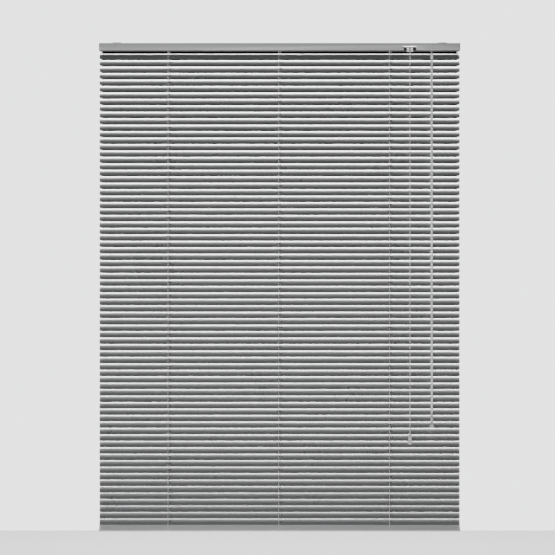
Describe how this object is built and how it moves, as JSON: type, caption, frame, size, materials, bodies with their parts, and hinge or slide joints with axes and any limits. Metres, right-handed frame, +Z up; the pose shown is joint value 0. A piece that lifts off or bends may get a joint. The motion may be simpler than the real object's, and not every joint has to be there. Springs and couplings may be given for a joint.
{
  "type": "venetian blind",
  "caption": "Aluminium venetian blind with a steel head rail, tilt wand, pull cord and cord lock, ladder-hung slats and a bottom rail, for fixing inside a window recess.",
  "frame": {"origin": "middle of the plane where the two brackets meet the window head, half-way along the blind and half-way through its depth", "axes": "+X to the right seen from the room, +Y away from the room towards the window glass, +Z up"},
  "size_m": [1.2, 0.0486, 1.6253],
  "materials": {
    "slat_aluminium": "gloss lacquer over aluminium",
    "rail_steel": "satin paint",
    "bottom_steel": "satin paint",
    "plated_steel": "zinc plated",
    "rod_steel": "drawn",
    "white_moulding": "satin",
    "grey_moulding": "satin",
    "clear_acrylic": "clear gloss",
    "grip_moulding": "gloss",
    "tassel_moulding": "satin",
    "roller_brass": "knurled",
    "ladder_string": "braided polyester",
    "braided_cord": "braided polyester"
  },
  "bodies": {
    "head": {"head_rail": "rail_steel", "head_cap_left": "grey_moulding", "head_cap_right": "grey_moulding", "bracket_left": "plated_steel", "bracket_right": "plated_steel", "drum_cradle_left": "grey_moulding", "drum_cradle_centre": "grey_moulding", "drum_cradle_right": "grey_moulding", "tilter_housing": "white_moulding", "cord_lock": "white_moulding", "pull_cord": "braided_cord", "ladder_left": "ladder_string", "ladder_right": "ladder_string", "lift_cord_left": "braided_cord", "lift_cord_centre": "braided_cord", "lift_cord_right": "braided_cord"},
    "lever_left": {"bracket_lever_left": "plated_steel"},
    "lever_right": {"bracket_lever_right": "plated_steel"},
    "tilt_shaft": {"tilt_rod": "rod_steel", "tilt_drum_left": "white_moulding", "tilt_drum_centre": "white_moulding", "tilt_drum_right": "white_moulding", "tilter_gear": "white_moulding"},
    "worm": {"tilter_worm": "white_moulding"},
    "sleeve": {"wand_sleeve": "clear_acrylic"},
    "wand": {"wand_hook": "plated_steel", "wand": "clear_acrylic", "wand_grip": "grip_moulding"},
    "lock_roller": {"cord_lock_roller": "roller_brass"},
    "tassel": {"cord_tassel": "tassel_moulding"},
    "foot": {"ladder_centre_foot": "ladder_string"},
    "bottom": {"bottom_rail": "bottom_steel", "bottom_cap_left": "grey_moulding", "bottom_cap_right": "grey_moulding", "bottom_plug_left": "grey_moulding", "bottom_plug_centre": "grey_moulding", "bottom_plug_right": "grey_moulding"},
    "carrier_01": {"ladder_centre_01": "ladder_string"},
    "slat_01": {"slat_01": "slat_aluminium"},
    "carrier_02": {"ladder_centre_02": "ladder_string"},
    "slat_02": {"slat_02": "slat_aluminium"},
    "carrier_03": {"ladder_centre_03": "ladder_string"},
    "slat_03": {"slat_03": "slat_aluminium"},
    "carrier_04": {"ladder_centre_04": "ladder_string"},
    "slat_04": {"slat_04": "slat_aluminium"},
    "carrier_05": {"ladder_centre_05": "ladder_string"},
    "slat_05": {"slat_05": "slat_aluminium"},
    "carrier_06": {"ladder_centre_06": "ladder_string"},
    "slat_06": {"slat_06": "slat_aluminium"},
    "carrier_07": {"ladder_centre_07": "ladder_string"},
    "slat_07": {"slat_07": "slat_aluminium"},
    "carrier_08": {"ladder_centre_08": "ladder_string"},
    "slat_08": {"slat_08": "slat_aluminium"},
    "carrier_09": {"ladder_centre_09": "ladder_string"},
    "slat_09": {"slat_09": "slat_aluminium"},
    "carrier_10": {"ladder_centre_10": "ladder_string"},
    "slat_10": {"slat_10": "slat_aluminium"}
  },
  "joints": [
    {"name": "lift", "type": "slide", "parent": "head", "child": "foot", "axis": [0, 0, 1], "range_m": [0, 1.32918], "deforming": ["ladder_left", "ladder_right", "lift_cord_left", "lift_cord_centre", "lift_cord_right", "pull_cord", "ladder_centre_foot"]},
    {"name": "lift_01", "type": "slide", "parent": "head", "child": "carrier_01", "axis": [0, 0, 1], "range_m": [0, 0.005], "deforming": ["ladder_centre_01"]},
    {"name": "lift_02", "type": "slide", "parent": "head", "child": "carrier_02", "axis": [0, 0, 1], "range_m": [0, 0.14573], "deforming": ["ladder_centre_02"]},
    {"name": "lift_03", "type": "slide", "parent": "head", "child": "carrier_03", "axis": [0, 0, 1], "range_m": [0, 0.28646], "deforming": ["ladder_centre_03"]},
    {"name": "lift_04", "type": "slide", "parent": "head", "child": "carrier_04", "axis": [0, 0, 1], "range_m": [0, 0.42718], "deforming": ["ladder_centre_04"]},
    {"name": "lift_05", "type": "slide", "parent": "head", "child": "carrier_05", "axis": [0, 0, 1], "range_m": [0, 0.56791], "deforming": ["ladder_centre_05"]},
    {"name": "lift_06", "type": "slide", "parent": "head", "child": "carrier_06", "axis": [0, 0, 1], "range_m": [0, 0.70864], "deforming": ["ladder_centre_06"]},
    {"name": "lift_07", "type": "slide", "parent": "head", "child": "carrier_07", "axis": [0, 0, 1], "range_m": [0, 0.84936], "deforming": ["ladder_centre_07"]},
    {"name": "lift_08", "type": "slide", "parent": "head", "child": "carrier_08", "axis": [0, 0, 1], "range_m": [0, 0.99009], "deforming": ["ladder_centre_08"]},
    {"name": "lift_09", "type": "slide", "parent": "head", "child": "carrier_09", "axis": [0, 0, 1], "range_m": [0, 1.13082], "deforming": ["ladder_centre_09"]},
    {"name": "lift_10", "type": "slide", "parent": "head", "child": "carrier_10", "axis": [0, 0, 1], "range_m": [0, 1.27154], "deforming": ["ladder_centre_10"]},
    {"name": "tilt", "type": "hinge", "parent": "head", "child": "tilt_shaft", "pos_m": [0, 0, -0.014], "axis": [1, 0, 0], "range_deg": [-68, 0]},
    {"name": "tilt_01", "type": "hinge", "parent": "carrier_01", "child": "slat_01", "pos_m": [0, 0, -0.1092], "axis": [1, 0, 0], "range_deg": [-52.5, 0]},
    {"name": "tilt_02", "type": "hinge", "parent": "carrier_02", "child": "slat_02", "pos_m": [0, 0, -0.2597], "axis": [1, 0, 0], "range_deg": [-52.5, 0]},
    {"name": "tilt_03", "type": "hinge", "parent": "carrier_03", "child": "slat_03", "pos_m": [0, 0, -0.4102], "axis": [1, 0, 0], "range_deg": [-52.5, 0]},
    {"name": "tilt_04", "type": "hinge", "parent": "carrier_04", "child": "slat_04", "pos_m": [0, 0, -0.5607], "axis": [1, 0, 0], "range_deg": [-52.5, 0]},
    {"name": "tilt_05", "type": "hinge", "parent": "carrier_05", "child": "slat_05", "pos_m": [0, 0, -0.7112], "axis": [1, 0, 0], "range_deg": [-52.5, 0]},
    {"name": "tilt_06", "type": "hinge", "parent": "carrier_06", "child": "slat_06", "pos_m": [0, 0, -0.8617], "axis": [1, 0, 0], "range_deg": [-52.5, 0]},
    {"name": "tilt_07", "type": "hinge", "parent": "carrier_07", "child": "slat_07", "pos_m": [0, 0, -1.0122], "axis": [1, 0, 0], "range_deg": [-52.5, 0]},
    {"name": "tilt_08", "type": "hinge", "parent": "carrier_08", "child": "slat_08", "pos_m": [0, 0, -1.1627], "axis": [1, 0, 0], "range_deg": [-52.5, 0]},
    {"name": "tilt_09", "type": "hinge", "parent": "carrier_09", "child": "slat_09", "pos_m": [0, 0, -1.3132], "axis": [1, 0, 0], "range_deg": [-52.5, 0]},
    {"name": "tilt_10", "type": "hinge", "parent": "carrier_10", "child": "slat_10", "pos_m": [0, 0, -1.4637], "axis": [1, 0, 0], "range_deg": [-52.5, 0]},
    {"name": "tilt_bottom", "type": "hinge", "parent": "foot", "child": "bottom", "pos_m": [0, 0, -1.6135], "axis": [1, 0, 0], "range_deg": [-52.5, 0]},
    {"name": "worm_turn", "type": "hinge", "parent": "head", "child": "worm", "pos_m": [0.504, -0.00559, -0.00931], "axis": [0, -0.6428, -0.766], "range_deg": [0, 1370]},
    {"name": "wand_swing", "type": "hinge", "parent": "head", "child": "sleeve", "pos_m": [0.504, -0.02147, -0.02823], "axis": [1, 0, 0], "range_deg": [-40, 0]},
    {"name": "wand_turn", "type": "hinge", "parent": "sleeve", "child": "wand", "pos_m": [0.504, -0.02147, -0.048], "axis": [0, 0, -1], "range_deg": [0, 1370]},
    {"name": "lock_release", "type": "slide", "parent": "head", "child": "lock_roller", "axis": [0, 0, 1], "range_m": [0, 0.0025]},
    {"name": "tassel_drop", "type": "slide", "parent": "head", "child": "tassel", "axis": [0, 0, -1], "range_m": [0, 1.33018]},
    {"name": "bracket_left_release", "type": "hinge", "parent": "head", "child": "lever_left", "pos_m": [-0.54, 0, -0.0013], "axis": [0, 0, 1], "range_deg": [0, 90]},
    {"name": "bracket_right_release", "type": "hinge", "parent": "head", "child": "lever_right", "pos_m": [0.54, 0, -0.0013], "axis": [0, 0, -1], "range_deg": [0, 90]}
  ],
  "couplings": [
    {"joint": "lift_01", "follows": "lift", "ratio": 0.0030094},
    {"joint": "lift_02", "follows": "lift", "ratio": 0.10888},
    {"joint": "lift_03", "follows": "lift", "ratio": 0.21476},
    {"joint": "lift_04", "follows": "lift", "ratio": 0.32063},
    {"joint": "lift_05", "follows": "lift", "ratio": 0.42651},
    {"joint": "lift_06", "follows": "lift", "ratio": 0.53238},
    {"joint": "lift_07", "follows": "lift", "ratio": 0.63826},
    {"joint": "lift_08", "follows": "lift", "ratio": 0.74414},
    {"joint": "lift_09", "follows": "lift", "ratio": 0.85001},
    {"joint": "lift_10", "follows": "lift", "ratio": 0.95589},
    {"joint": "tilt_01", "follows": "tilt", "ratio": 0.76471},
    {"joint": "tilt_02", "follows": "tilt", "ratio": 0.76471},
    {"joint": "tilt_03", "follows": "tilt", "ratio": 0.76471},
    {"joint": "tilt_04", "follows": "tilt", "ratio": 0.76471},
    {"joint": "tilt_05", "follows": "tilt", "ratio": 0.76471},
    {"joint": "tilt_06", "follows": "tilt", "ratio": 0.76471},
    {"joint": "tilt_07", "follows": "tilt", "ratio": 0.76471},
    {"joint": "tilt_08", "follows": "tilt", "ratio": 0.76471},
    {"joint": "tilt_09", "follows": "tilt", "ratio": 0.76471},
    {"joint": "tilt_10", "follows": "tilt", "ratio": 0.76471},
    {"joint": "tilt_bottom", "follows": "tilt", "ratio": 0.76471},
    {"joint": "worm_turn", "follows": "tilt", "ratio": -20},
    {"joint": "wand_turn", "follows": "tilt", "ratio": -20},
    {"joint": "tassel_drop", "follows": "lift", "ratio": 1}
  ]
}
